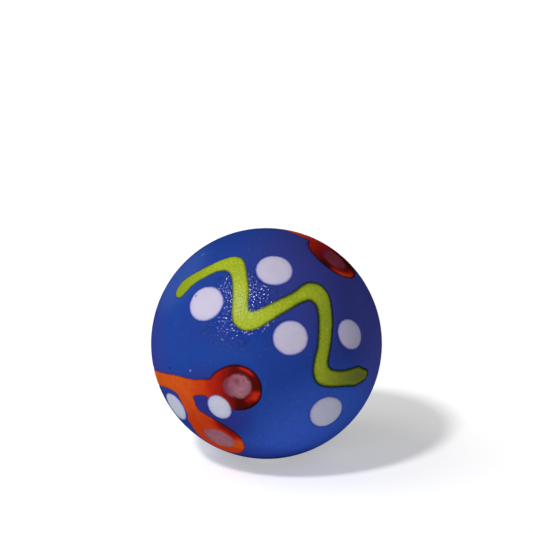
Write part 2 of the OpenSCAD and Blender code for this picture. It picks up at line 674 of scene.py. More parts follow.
    def glass(self, body: Input, normal: Socket, wave: Number, finish: "Finish") -> None:
        """Adds the shaders and the output: satin glass, and polished glass where it is polished.

        Args:
            body: Its colour.
            normal: Its surface normal.
            wave: The noise that moves its roughness.
            finish: The glass, with its roughness and gloss.
        """
        ends = []
        for (middle, swing), level in ((finish.satin, SATIN_GLOSS), (finish.polish, finish.gloss)):
            own = {"Roughness": middle + wave * swing, "Specular IOR Level": level}
            own |= {"Base Color": body, "Normal": normal}
            ends.append(self.node("ShaderNodeBsdfPrincipled", {}, own).outputs["BSDF"])
        both = self.node("ShaderNodeMixShader", {}, {0: self.polished(), 1: ends[0], 2: ends[1]})
        self.node("ShaderNodeOutputMaterial", {}, {"Surface": both.outputs[0]})


def new_work(name: str) -> tuple[Material, NodeWork]:
    """Starts a material.

    Args:
        name: Its name.

    Returns:
        The material and its node tree, emptied.
    """
    material = bpy.data.materials.new(name)
    material.use_nodes = True
    return material, NodeWork(material.node_tree)


# Finishes


class Finish:
    """One of the ball's glasses. It sets its slot and, if it is opaque, its roughness and gloss."""

    slot: Slot
    satin: Swing
    polish: Swing
    gloss: float

    def paint(self, work: NodeWork) -> None:
        """Fills the material's node tree."""
        raise NotImplementedError

    def material(self) -> Material:
        """Makes the material."""
        made, work = new_work(self.slot.value)
        self.paint(work)
        return made


@dataclass(frozen=True)
class ClearGlass(Finish):
    """Clear glass of the core, with the faint cords of a hand-made gather."""

    pale: Colour = (0.93, 0.96, 0.98)
    cord: Colour = (0.86, 0.92, 0.95)

    slot = Slot.CLEAR

    def paint(self, work: NodeWork) -> None:
        """Mixes the two tones in cords."""
        cords = work.noise(3.0, 3.0, 1.5)
        shader = work.node(
            "ShaderNodeBsdfPrincipled",
            {},
            {
                "Base Color": work.blend(cords, self.pale, self.cord),
                "Roughness": 0.02 + cords * 0.03,
                "IOR": 1.5,
                "Transmission Weight": 1.0,
            },
        )
        work.node("ShaderNodeOutputMaterial", {}, {"Surface": shader.outputs["BSDF"]})


@dataclass(frozen=True)
class LightTint:
    """A region of the ball where the blue is painted lighter or darker: painted light, painted shade or
    a darker patch.

    Args:
        place: Its middle.
        full: Angle from the middle within which it is strongest, in degrees.
        end: Angle at which it ends, in degrees.
        share: Its strength in the middle.
        colour: Its tone.
    """

    place: Place
    full: float
    end: float
    share: float
    colour: Colour

    def over(self, work: NodeWork, body: Input) -> Socket:
        """Lays the tone over a colour."""
        near, far = math.cos(math.radians(self.full)), math.cos(math.radians(self.end))
        return work.blend(work.ease(work.along(self.place), far, near) * self.share, body, self.colour)


@dataclass(frozen=True)
class Cloud:
    """A tone in uneven patches.

    Args:
        colour: The tone.
        share: Its strength.
        size: Size of the patches, in millimetres.
        detail: Octaves of their noise beyond the first.
        turn: Their warp.
        low: The noise at which the tone begins.
        high: The noise at which it is full.
    """

    colour: Colour
    share: float
    size: float
    detail: float
    turn: float
    low: float
    high: float

    def over(self, work: NodeWork, body: Input) -> Socket:
        """Lays the tone over a colour."""
        noise = work.noise(self.size, self.detail, self.turn)
        return work.blend(work.ease(noise, self.low, self.high, self.share), body, self.colour)


@dataclass(frozen=True)
class BlueGlass(Finish):
    """Deep blue glass of the casing, finely dimpled, with light and shade painted into its colour:
    paler where light gathers in it and at a painted sheen, darker in painted shade.
    """

    light: Colour = (0.0168, 0.0605, 0.335)
    deep: Colour = (0.019, 0.050, 0.30)
    drift: Cloud = Cloud((0.019, 0.050, 0.30), 0.6, 7.0, 3.0, 0.6, 0.35, 0.65)
    # Painted shade between the glints, and a dark seam round each inlay that is partly painted shade
    seam_shade: Colour = (0.010, 0.010, 0.10)
    ash: Colour = (0.14, 0.19, 0.46)
    soot: Colour = (0.014, 0.008, 0.05)
    # Painted light and shade: a painted sheen at the upper left edge, light gathered through the glass
    # painted paler at the lower right, a deeper blue under the highlight, darker patches at the lower
    # left, the bottom and the left, painted shade at the upper right, and the right edge painted paler
    # and more violet where little light falls.
    light_and_shade: tuple[LightTint, ...] = (
        LightTint(Place(-86, 40), 5, 26, 0.9, (0.040, 0.092, 0.39)),
        LightTint(Place(44, -40), 21, 54, 0.95, (0.042, 0.116, 0.59)),
        LightTint(Place(-15, 38), 11, 24, 0.8, (0.007, 0.048, 0.385)),
        LightTint(Place(-30, -17), 6, 26, 0.9, (0.030, 0.033, 0.23)),
        LightTint(Place(-25, -75), 12, 40, 0.7, (0.024, 0.036, 0.27)),
        LightTint(Place(-88, -5), 12, 36, 0.7, (0.040, 0.050, 0.30)),
        LightTint(Place(66, 48), 15, 60, 0.95, (0.041, 0.048, 0.262)),
        LightTint(Place(86, 6), 10, 42, 0.8, (0.080, 0.090, 0.46)),
    )
    marks: tuple[tuple[Place, float, Colour], ...] = (
        (Place(-56.8, -1.5), 0.20, (0.008, 0.008, 0.06)),
        (Place(-41.1, 1.5), 0.16, (0.30, 0.34, 0.62)),
        (Place(-11.2, 20.2), 0.34, (0.016, 0.024, 0.13)),
        (Place(-85.2, 56.5), 0.30, (0.10, 0.15, 0.50)),
    )
    mark_share: float = 0.8
    dimple_size: float = 0.29
    dimple_depth: float = 0.073
    # Share of the dimples' depth that is left in the satin glass
    satin_relief: float = 0.1

    slot = Slot.BLUE
    satin = (0.40, 0.2)
    polish = (0.055, 0.045)
    gloss = 0.38

    def paint(self, work: NodeWork) -> None:
        """Lays the tones and the painted light and shade over each other, then the painted shade
        between the dimples, the dark seams, the specks, the marks and the dimples' relief.
        """
        body = self.drift.over(work, self.light)
        for light_tint in self.light_and_shade:
            body = light_tint.over(work, body)
        fine = work.noise(0.45, 3.0, 0.8)
        body = work.blend(work.ease(fine, 0.45, 0.75, 0.25), body, self.deep)
        polished = work.polished()
        dimples = work.dimples(self.dimple_size)
        # Painted shade between the glints: the polished patch is darkened away from the dimples'
        # middles
        body = work.blend(work.ease(dimples, 0.10, 0.34) * polished * 0.3, body, self.seam_shade)
        # A dark seam round each inlay, partly painted shade
        body = work.blend(work.fade(work.mark("rim"), 0.0, 0.16, 0.45), body, self.seam_shade)
        body = work.blend(work.specks(0.6, 0.10, 0.62) * 0.30, body, self.ash)
        body = work.blend(work.specks(0.9, 0.12, 0.70) * 0.45, body, self.soot)
        for place, size, colour in self.marks:
            body = work.blend(work.near(place, size) * self.mark_share, body, colour)
        relief = dimples * (self.satin_relief + (1 - self.satin_relief) * polished)
        work.glass(body, work.bump(relief, self.dimple_depth), fine, self)


@dataclass(frozen=True)
class GreenGlass(Finish):
    """Opaque yellow-green glass of the threads, dark along its rims, with painted shade towards its
    right and a painted sheen where it is polished.
    """

    body: Colour = (0.40, 0.50, 0.022)
    shade: Colour = (0.265, 0.345, 0.016)
    drift: Cloud = Cloud((0.265, 0.345, 0.016), 0.4, 2.4, 2.0, 0.0, 0.3, 0.7)
    lime: Colour = (0.53, 0.61, 0.055)
    # Painted shade towards the thread's right end
    olive_shade: Colour = (0.168, 0.198, 0.036)
    rim: Colour = (0.008, 0.016, 0.010)

    slot = Slot.GREEN
    satin = (0.45, 0.2)
    polish = (0.22, 0.1)
    gloss = 0.15

    def paint(self, work: NodeWork) -> None:
        """Lays grain over the body, then a painted sheen, the darker ends, with painted shade at the
        right, and the rims, painted darker on the shaded side.
        """
        grain = work.noise(0.2, 2.0)
        # The right side, away from the light, where the thread is painted darker and its rims wider as
        # painted shade
        shaded_side = work.across("X", -4, 5)
        rim = work.stir(work.mark("rim"), grain, 0.14) / (0.6 + 0.55 * shaded_side)
        body = self.drift.over(work, self.body)
        body = work.blend(work.fade(grain, 0.35, 0.55, 0.4), body, self.shade)
        body = work.blend(work.ease(grain, 0.50, 0.66, 0.55), body, self.lime)
        # Painted sheen: the thread is painted paler lime where it is polished, under the highlight
        body = work.blend(work.polished() * 0.2, body, self.lime)
        body = work.blend(0.95 - work.across("X", -9.6, -5.0, 0.95), body, self.shade)
        # Painted shade: the thread turns darker olive towards its right end, away from the light
        body = work.blend(work.across("X", 4.0, 10.8), body, self.olive_shade)
        body = work.blend(work.fade(rim, 0.2, 0.7, 0.5), body, self.shade)
        # Dark rims, painted darker still on the shaded side as painted shade
        near_rim = work.fade(rim, 0.04, 0.40)
        body = work.blend(near_rim * (0.62 + 0.36 * shaded_side), body, self.rim)
        work.glass(body, work.bump(work.dimples(0.25), 0.03), grain, self)


@dataclass(frozen=True)
class RedGlass(Finish):
    """See-through red glass of the branches: orange where thin, nearly black where deep, with painted
    light in arcs where light shines through the blobs.
    """

    stops: tuple[tuple[float, Colour], ...] = (
        (0.0, (0.014, 0.0025, 0.0025)),
        (0.1, (0.036, 0.0035, 0.0035)),
        (0.25, (0.085, 0.005, 0.0045)),
        (0.4, (0.18, 0.008, 0.006)),
        (0.55, (0.36, 0.013, 0.0075)),
        (0.7, (0.50, 0.025, 0.008)),
        (0.85, (0.59, 0.060, 0.010)),
        (1.0, (0.68, 0.125, 0.014)),
    )
    rim: Colour = (0.022, 0.004, 0.005)

    slot = Slot.RED
    satin = (0.35, 0.2)
    polish = (0.15, 0.1)
    gloss = 0.3

    def paint(self, work: NodeWork) -> None:
        """Colours the glass by how much light comes through, dark along its outline."""
        streaks = work.noise(0.9, 4.0, 0.8)
        glow = work.mark("glow")
        body = work.ramp(work.stir(glow, streaks, 0.16), self.stops)
        outline = work.stir(work.mark("outline"), streaks, 0.1) / (1.35 - 0.75 * glow)
        near_rim = work.fade(outline, 0.03, 0.30)
        body = work.blend(near_rim * (0.97 - 0.4 * work.ease(glow, 0.6, 0.9)), body, self.rim)
        work.glass(body, work.bump(work.noise(0.45, 1.5), 0.012), streaks, self)


@dataclass(frozen=True)
class PinkGlass(Finish):
    """Dusky pink glass of the eyes, mottled where the red shows through."""

    pale: Colour = (0.40, 0.168, 0.21)
    dusk: Colour = (0.26, 0.09, 0.11)
    red: Colour = (0.17, 0.009, 0.028)
    patches: tuple[Cloud, ...] = (
        Cloud((0.27, 0.115, 0.21), 0.55, 1.1, 2.0, 0.5, 0.42, 0.62),
        Cloud((0.47, 0.235, 0.29), 0.5, 0.3, 4.0, 1.2, 0.50, 0.70),
    )

    slot = Slot.PINK
    satin = (0.35, 0.2)
    polish = (0.15, 0.1)
    gloss = 0.3

    def paint(self, work: NodeWork) -> None:
        """Lays clouds over the body, then the red that shows through and along the edge."""
        clouds = work.ease(work.noise(0.5, 3.0), 0.3, 0.7)
        grain = work.noise(0.16, 1.0)
        body = work.blend(clouds * 0.4, self.pale, self.dusk)
        body = work.blend(grain * 0.25, body, self.dusk)
        for patch in self.patches:
            body = patch.over(work, body)
        body = work.blend(work.stir(work.mark("veil"), clouds, 0.1), body, self.red)
        edge = work.fade(work.stir(work.mark("rim"), clouds, 0.2), 0.0, 0.36)
        body = work.blend(edge * 0.85, body, work.ramp(work.mark("ring"), RedGlass().stops))
        work.glass(body, work.bump(work.noise(0.4, 1.5), 0.012), clouds, self)


@dataclass(frozen=True)
class WhiteGlass(Finish):
    """Opaque white glass of the dots, lilac above and painted cooler below as if lit from below,
    painted smokier to the right as shade, with thin bluish edges.
    """

    lilac: Colour = (0.62, 0.585, 0.75)
    # Painted light from below
    cool_underlight: Colour = (0.58, 0.67, 0.79)
    edge: Colour = (0.055, 0.070, 0.44)
    warm_edge: Colour = (0.20, 0.045, 0.02)
    # Smoky tone, also used as painted shade towards the right
    smoke_and_shade: Colour = (0.49, 0.46, 0.72)
    nick: Colour = (0.10, 0.08, 0.24)
    patches: tuple[Cloud, ...] = (
        Cloud((0.49, 0.46, 0.72), 0.25, 1.2, 3.0, 0.0, 0.4, 0.75),
        Cloud((0.62, 0.53, 0.68), 0.4, 0.45, 3.0, 0.5, 0.45, 0.7),
    )
    # Where a dot lies over red glass, and how far the red is seen, in millimetres
    over_red: Place = Place(-20.4, -10.2)
    red_size: float = 1.7
    nick_share: float = 0.8
    nicks: tuple[tuple[Place, float], ...] = (
        (Place(-50.6, 38.2), 0.17),
        (Place(-49.4, 36.9), 0.07),
        (Place(12.6, 13.3), 0.14),
        (Place(-140.5, 13.5), 0.15),
    )

    slot = Slot.WHITE
    satin = (0.40, 0.2)
    polish = (0.30, 0.1)
    gloss = 0.15

    def paint(self, work: NodeWork) -> None:
        """Lays the tones over each other, with painted light below and painted shade to the right, then
        the edges and nicks.
        """
        # Painted light: the dots are painted cooler below, as if lit from below, and lilac above
        body = work.blend(1 - work.across("Z", -8, 2), self.lilac, self.cool_underlight)
        for patch in self.patches:
            body = patch.over(work, body)
        # Painted shade: the dots are painted smokier towards the right, away from the light
        body = work.blend(work.across("X", 5, 11, 0.5), body, self.smoke_and_shade)
        rim = work.stir(work.mark("rim"), work.noise(0.4, 3.0), 0.16)
        body = work.blend(work.fade(rim, 0.1, 0.8, 0.45), body, self.smoke_and_shade)
        edge = work.blend(work.near(self.over_red, self.red_size), self.edge, self.warm_edge)
        body = work.blend(work.fade(rim, 0.0, 0.27, 0.9), body, edge)
        for place, size in self.nicks:
            body = work.blend(work.near(place, size) * self.nick_share, body, self.nick)
        work.glass(body, work.bump(work.noise(0.35, 1.0), 0.008), work.noise(0.6, 2.0), self)


# Inlays


@dataclass
class Inlay:
    """One piece of glass that is melted into the ball.

    Args:
        node: The CAD node that it stands for, and its own name.
    """

    node: str

    dip = 0.03
    reach = 0.2

    def shape(self) -> Piece:
        """Makes the form that sticks out of the ball, before it is cut flush."""
        raise NotImplementedError

    def pools(self) -> list[Pool]:
        """The pools whose rims stay level with their surroundings."""
        return []

    def lay(self, ball: Piece, form: Piece, above: Sequence[Piece]) -> list[Vector]:
        """Cuts the form flush with the ball and with the pieces that lie over it.

        Args:
            ball: The finished ball's outside.
            form: The form of this piece.
            above: The forms that are laid over this piece.

        Returns:
            The points of the piece's rim.
        """
        self.piece = copy_of(form, self.node)
        cut(self.piece, ball, Cut.INSIDE)
        for upper in above:
            cut(self.piece, upper, Cut.OUTSIDE)
        clean(self.piece)
        return ease_rim(self.piece, self.dip, self.reach, self.pools())


def dress_piece(piece: Piece, node: str, material: Material) -> None:
    """Polishes a piece, gives it its glass and puts it in place of its CAD node.

    Args:
        piece: The object, shaped in millimetres.
        node: The CAD node that it stands for.
        material: Its glass.
    """
    polish(piece)
    piece.name = node + "_glass"
    piece.data.name = piece.name
    piece.data.materials.clear()
    piece.data.materials.append(material)
    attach(piece, "root")
    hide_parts(node)
    LOG.info("%s: %d faces", piece.name, len(piece.data.polygons))


@dataclass
class RoundInlay(Inlay):
    """A single pool of glass: a white dot or an eye.

    Args:
        pool: Its place and size.
        model: The bead that its form is copied from, 1 mm in radius at the origin.
        stretch: How much longer than wide it is.
        lean: Clockwise angle of its length from the top, in degrees.
    """

    pool: Pool
    model: Piece
    stretch: float = 1.0
    lean: float = 0.0

    # Size and height of its unevenness, in millimetres
    swell, wobble = 1.6, 0.05

    def all_pools(self) -> list[Pool]:
        """The pools that its form is made of."""
        return [self.pool]

    def shape(self) -> Piece:
        """Copies the model bead to its place and gives it its own unevenness."""
        form = copy_of(self.model, self.node + "_form")
        radius = self.pool.under_radius()
        length = math.sqrt(self.stretch)
        form.matrix_world = (
            self.pool.place.turn()
            @ Matrix.Rotation(math.radians(-self.lean), 4, "Z")
            @ Matrix.Translation((0, 0, self.pool.height()))
            @ Matrix.Diagonal((radius / length, radius * length, radius, 1))
        )
        settle(form)
        hand_wobble(form, self.swell, self.wobble)
        return form


@dataclass(frozen=True)
class Arc:
    """An arc of a round pool that is painted lighter or darker: on a blob a lighter arc is painted
    light shining through the glass, on an eye it shows more red.

    Args:
        angle: Its middle, clockwise from the top, in degrees.
        span: Half its length, in degrees.
        out: Distance from the pool's middle, as a share of its radius.
        thick: Half its thickness, as a share of the radius.
        strength: What it adds.
    """

    angle: float
    span: float
    out: float
    thick: float
    strength: float

    def at(self, angle: float, out: float) -> float:
        """What it adds at an angle, in degrees, and a distance, as a share of the radius."""
        along = math.remainder(angle - self.angle, 360) / self.span
        across = (out - self.out) / self.thick
        return self.strength * math.exp(-(along**4) - across**2)


@dataclass(frozen=True)
class Blob:
    """The round blob that ends a limb.

    Args:
        pool: Its place and size.
        level: How much light comes through it, from 0, deep and dark, to 1, thin and orange.
        side: Clockwise angle from the top at which its neck joins it, in degrees.
        arcs: Arcs of painted light, where light shines through, and darker arcs.
    """

    pool: Pool
    level: float
    side: float
    arcs: tuple[Arc, ...]

    # Light in the neck, in the stem and on the blob's side towards the neck
    NECK_GLOW, STEM_GLOW, RING_GLOW, NECK_SHARE = 0.58, 0.90, 0.64, 0.95
    # Millimetres over which the neck fades into the stem, and the rise per millimetre beyond it
    FADE, RISE = 1.6, 0.008
    # Where the blob gives way to the neck, and how softly, as shares of its radius
    EDGE, SOFTNESS = 1.12, 0.09

    def glow(self, point: Vector) -> float:
        """How much light comes through the glass at a point of the ball's surface, with the painted
        light of its arcs.

        Args:
            point: The point.

        Returns:
            From about 0, deep and dark, to 1, thin and orange.
        """
        angle, out = self.pool.spot(point)
        away = max(0.0, out - 1) * self.pool.width / 2
        start = max(self.NECK_GLOW, self.level)
        stem = start + (self.STEM_GLOW - start) * (1 - math.exp(-away / self.FADE)) + self.RISE * away
        neck = max(0.0, math.cos(math.radians(angle - self.side)))
        rise = max(self.RING_GLOW, self.level) - self.level
        ring = self.level + rise * self.NECK_SHARE * neck * min(1.0, out)
        share = 1 / (1 + math.exp((out - self.EDGE) / self.SOFTNESS))
        arcs = sum(arc.at(angle, out) for arc in self.arcs)
        return stem + (ring - stem) * share + arcs


@dataclass
class Eye(RoundInlay):
    """A pale eye that is set into the middle of a blob.

    Args:
        veil: How deep it lies under the red, from 0 to 1. Where it is high, it is partly painted shade.
        arcs: Where the red shows through it more.
        lobes: Pools that have run into it.
        blob: The blob that it is set into.
    """

    veil: float = 0.0
    arcs: tuple[Arc, ...] = ()
    lobes: Sequence[Pool] = ()
    blob: Optional[Blob] = None

    dip = 0.0
    wobble = 0.06
    voxel, flow = 0.06, 3

    def all_pools(self) -> list[Pool]:
        """The eye's own pool and those of its lobes."""
        return [self.pool, *self.lobes]

    def shape(self) -> Piece:
        """Makes the eye and melts its lobes into it."""
        form = super().shape()
        if self.lobes:
            form = joined([form, *(pool_bead("lobe", pool) for pool in self.lobes)])
            melt(form, self.voxel, self.flow)
        return form

    def lay(self, ball: Piece, form: Piece, above: Sequence[Piece]) -> list[Vector]:
        """Lays the eye, then marks how much red shows through it."""
        points = super().lay(ball, form, above)
        veils = []
        for vert in self.piece.data.vertices:
            spot = self.pool.spot(vert.co)
            veils.append(self.veil + sum(arc.at(*spot) for arc in self.arcs))
        write_mark(self.piece, "veil", veils)
        rings = [self.blob.glow(vert.co.normalized() * BALL_R) for vert in self.piece.data.vertices]
        write_mark(self.piece, "ring", rings)
        return points


@dataclass
class GreenThread(Inlay):
    """A zigzag of green glass thread.

    Args:
        stations: Its width and depth along its way.
        fills: Pools where the glass has run together in its bends.
    """

    stations: Sequence[Pool]
    fills: Sequence[Pool] = ()

    dip = 0.04
    voxel, flow = 0.09, 34
    swell, wobble = 1.5, 0.09

    def shape(self) -> Piece:
        """Draws the thread and melts its bends."""
        form = drawn_rod(self.node + "_form", self.stations)
        form = joined([form, *(pool_bead("fill", pool) for pool in self.fills)])
        melt(form, self.voxel, self.flow)
        hand_wobble(form, self.swell, self.wobble)
        return form


@dataclass
class RedBranch(Inlay):
    """A forked branch of red glass, whose limbs end in blobs.

    Args:
        limbs: The stations of each limb, from the fork to its blob.
        fills: Pools where the glass has run together in the fork and the necks.
        blobs: The blob of each limb.
        inset: The pools of the eyes and dots that may be set into it.
    """

    limbs: Sequence[Sequence[Pool]]
    fills: Sequence[Pool]
    blobs: Sequence[Blob]
    inset: Sequence[Pool]

    # Rim points this close to an inset pool, in millimetres, are its own
    inset_reach = 0.35
    bead_level = 5
    voxel, flow = 0.10, 36
    swell, wobble = 2.2, 0.10

    def shape(self) -> Piece:
        """Draws the limbs, adds the blobs and melts them together."""
        parts = [drawn_rod(self.node + "_form", self.limbs[0])]
        parts += [drawn_rod("limb", stations) for stations in self.limbs[1:]]
        pools = [*self.fills, *(blob.pool for blob in self.blobs)]
        parts += [pool_bead("blob", pool, self.bead_level) for pool in pools]
        form = joined(parts)
        melt(form, self.voxel, self.flow)
        hand_wobble(form, self.swell, self.wobble)
        return form

    def pools(self) -> list[Pool]:
        """The rims of what is set into it stay level."""
        return list(self.inset)

    def lay(self, ball: Piece, form: Piece, above: Sequence[Piece]) -> list[Vector]:
        """Lays the branch, then marks how thin its glass is and how far its outline lies."""
        points = super().lay(ball, form, above)
        outer = [
            point for point in points
            if not any(pool.covers(point, self.inset_reach) for pool in self.inset)
        ]
        tree = tree_of(outer)
        glow, outline = [], []
        for vert in self.piece.data.vertices:
            point = vert.co.normalized() * BALL_R
            glow.append(self._nearest(point).glow(point))
            outline.append(tree.find(point)[2])
        write_mark(self.piece, "glow", glow)
        write_mark(self.piece, "outline", outline)
        return points

    def _nearest(self, point: Vector) -> Blob:
        """The blob that is nearest to a point."""
        return min(self.blobs, key=lambda blob: (point - blob.pool.place.facing() * BALL_R).length)


@dataclass
class Casing:
    """The blue casing: a ball with a hollow for the core and a bed for every inlay."""

    node: str = "casing"
    core_gap: float = 0.02
    dip: float = 0.035
    reach: float = 0.2
    fine_band: float = 0.42
    level: int = 7
    hollow_level: int = 5

    def build(self, forms: Sequence[Piece], rims: Sequence[Vector]) -> None:
        """Makes the casing.

        Args:
            forms: The forms of all inlays, which make their beds.
            rims: Points of the inlays' rims, near which the casing is finer.
        """
        self.piece = bead(self.node, BALL_R, Vector(), self.level)
        self._refine(rims)
        hollow = bead("hollow", CORE_R + self.core_gap, Vector(), self.hollow_level)
        cut(self.piece, hollow, Cut.OUTSIDE)
        for form in forms:
            cut(self.piece, form, Cut.OUTSIDE)
        discard([hollow])
        clean(self.piece)
        ease_rim(self.piece, self.dip, self.reach)

    def _refine(self, rims: Sequence[Vector]) -> None:
        """Divides the faces near the rims."""
        tree = tree_of(rims)
        pick(self.piece)
        bpy.ops.object.mode_set(mode="EDIT")
        bpy.ops.mesh.select_mode(type="FACE")
        bpy.ops.mesh.select_all(action="DESELECT")
        shape = bmesh.from_edit_mesh(self.piece.data)
        for face in shape.faces:
            face.select_set(tree.find(face.calc_center_median())[2] < self.fine_band)
        bmesh.update_edit_mesh(self.piece.data)
        bpy.ops.mesh.subdivide(number_cuts=1)
        bpy.ops.mesh.select_all(action="SELECT")
        bpy.ops.mesh.quads_convert_to_tris(quad_method="BEAUTY", ngon_method="BEAUTY")
        bpy.ops.object.mode_set(mode="OBJECT")
        for vert in self.piece.data.vertices:
            vert.co = vert.co.normalized() * BALL_R


# The ball's layout


@dataclass(frozen=True)
class BranchPlan:
    """The layout of one red branch and its eyes, in rows of numbers.

    Args:
        name: Its part of the nodes' names.
        limbs: Azimuth, elevation and width of each limb's stations, from the fork to the blob.
        fills: The same of the pools that fill its fork and a wide neck.
        blobs: Azimuth, elevation, width, level of light and the neck's side of each blob.
        arcs: Angle, span, distance, thickness and strength of each blob's arcs, which paint light
            shining through or darker glass.
        eyes: Azimuth, elevation, width, stretch, lean and veil of each eye.
        eye_arcs: The arcs of each eye.
        lobes: Azimuth, elevation and width of each eye's lobes.
    """

    name: str
    limbs: Sequence[Sequence[tuple]]
    fills: Sequence[tuple]
    blobs: Sequence[tuple]
    arcs: Sequence[Sequence[tuple]]
    eyes: Sequence[tuple]
    eye_arcs: Sequence[Sequence[tuple]]
    lobes: Sequence[Sequence[tuple]]


LOW_BRANCH = BranchPlan(
    "low",
    limbs=(
        ((-52, -9.3, 2.45), (-49, -8.8, 2.5), (-40.3, -7.6, 2.05), (-35.4, -6.2, 1.9),
         (-31.9, -5.7, 2.25), (-28.2, -5.9, 2.85), (-23.5, -5.0, 3.7), (-19, -3.9, 4.7)),
        ((-51.5, -8.8, 2.0), (-47.2, -12.5, 2.85), (-45.4, -17.0, 2.55), (-44.5, -20.7, 2.35),
         (-43.4, -23.7, 2.4), (-41.6, -26.9, 2.95), (-39.6, -30.2, 4.0), (-37.9, -33.3, 4.9),
         (-36.2, -36.4, 5.5), (-36.2, -44.0, 6.05)),
        ((-48.2, -8.9, 2.45), (-58.7, -9.3, 1.8), (-68.5, -11.3, 1.75), (-83.6, -15.6, 1.85),
         (-96, -16, 2.0), (-105, -14, 2.5), (-113, -11, 3.6), (-118, -9, 4.4)),
    ),
    fills=(
        (-47.0, -11.5, 2.8), (-43.4, -23.7, 2.4), (-41.5, -26.9, 3.05), (-39.5, -30.2, 4.1),
        (-37.9, -33.3, 5.1), (-36.1, -36.4, 5.8),
    ),
    blobs=(
        (-14.6, -3.5, 5.40, 0.27, 268), (-34.1, -39.5, 6.4, 0.81, 335), (-121, -8, 5.2, 0.30, 110),
    ),
    # Arcs with a positive strength are painted light shining through the blob; negative ones are darker
    # glass
    arcs=(
        ((25, 23, 0.87, 0.09, 0.42), (112, 17, 0.80, 0.26, 0.46), (138, 14, 0.64, 0.13, 0.24),
         (176, 26, 0.82, 0.3, -0.08), (78, 18, 0.92, 0.2, -0.03), (208, 22, 0.85, 0.25, 0.10),
         (138, 26, 1.03, 0.10, -0.45)),
        ((48, 34, 0.90, 0.20, -0.40), (112, 26, 0.85, 0.25, 0.12)),
        ((60, 30, 0.84, 0.12, 0.34), (210, 22, 0.8, 0.2, 0.30)),
    ),
    eyes=(
        (-13.7, -2.2, 2.95, 1.08, 10, 0.04), (-32.4, -39.6, 3.8, 1.08, 80, 0.0),
        (-121, -8, 3.1, 1.05, 20, 0.1),
    ),
    eye_arcs=(
        ((270, 55, 1.15, 0.5, 0.70), (335, 35, 0.45, 0.26, 0.50)),
        ((290, 70, 1.0, 0.35, 0.30),),
        ((120, 60, 1.0, 0.4, 0.3), (300, 30, 0.4, 0.25, 0.3)),
    ),
    lobes=(((-17.0, -3.0, 2.5),), (), ()),
)
HIGH_BRANCH = BranchPlan(
    "high",
    limbs=(
        ((158, 62, 2.5), (146, 66.5, 2.2), (134, 69.0, 2.3), (120, 67.6, 2.7),
         (107, 64.2, 3.9), (97, 60, 4.9), (89, 56.5, 5.6), (92.5, 54.2, 6.2)),
        ((160, 64, 2.2), (154, 55, 2.4), (149, 48, 2.5), (144.5, 42, 3.4), (141.5, 38, 4.2)),
        ((152, 62, 2.2), (172, 61.5, 2.3), (-172, 58, 2.4), (-160, 53, 3.3), (-153, 48, 4.2)),
    ),
    fills=((159, 62, 3.0),),
    blobs=((86.3, 54.5, 6.25, 0.32, 30), (140, 36, 5.2, 0.30, 20), (-150, 46, 5.2, 0.35, 300)),
    # Arcs with a positive strength are painted light shining through the blob; negative ones are darker
    # glass
    arcs=(
        ((222, 46, 0.90, 0.14, 0.47), (282, 16, 0.90, 0.2, -0.16), (130, 45, 0.85, 0.25, -0.22)),
        ((140, 30, 0.84, 0.13, 0.34), (250, 20, 0.8, 0.2, 0.30)),
        ((80, 28, 0.84, 0.13, 0.34), (170, 20, 0.8, 0.2, 0.28)),
    ),
    eyes=(
        # The first eye's veil of 0.84 lays it deep under the red and is partly painted shade
        (83.0, 54.2, 3.6, 1.08, 80, 0.84), (140, 36, 3.1, 1.05, 30, 0.2),
        (-150, 46, 3.1, 1.05, 70, 0.3),
    ),
    eye_arcs=(
        ((0, 60, 1.0, 0.4, 0.2),),
        ((20, 60, 1.0, 0.4, 0.3), (200, 30, 0.4, 0.25, 0.3)),
        ((300, 60, 1.0, 0.4, 0.3), (100, 30, 0.4, 0.25, 0.3)),
    ),
    lobes=((), (), ()),
)


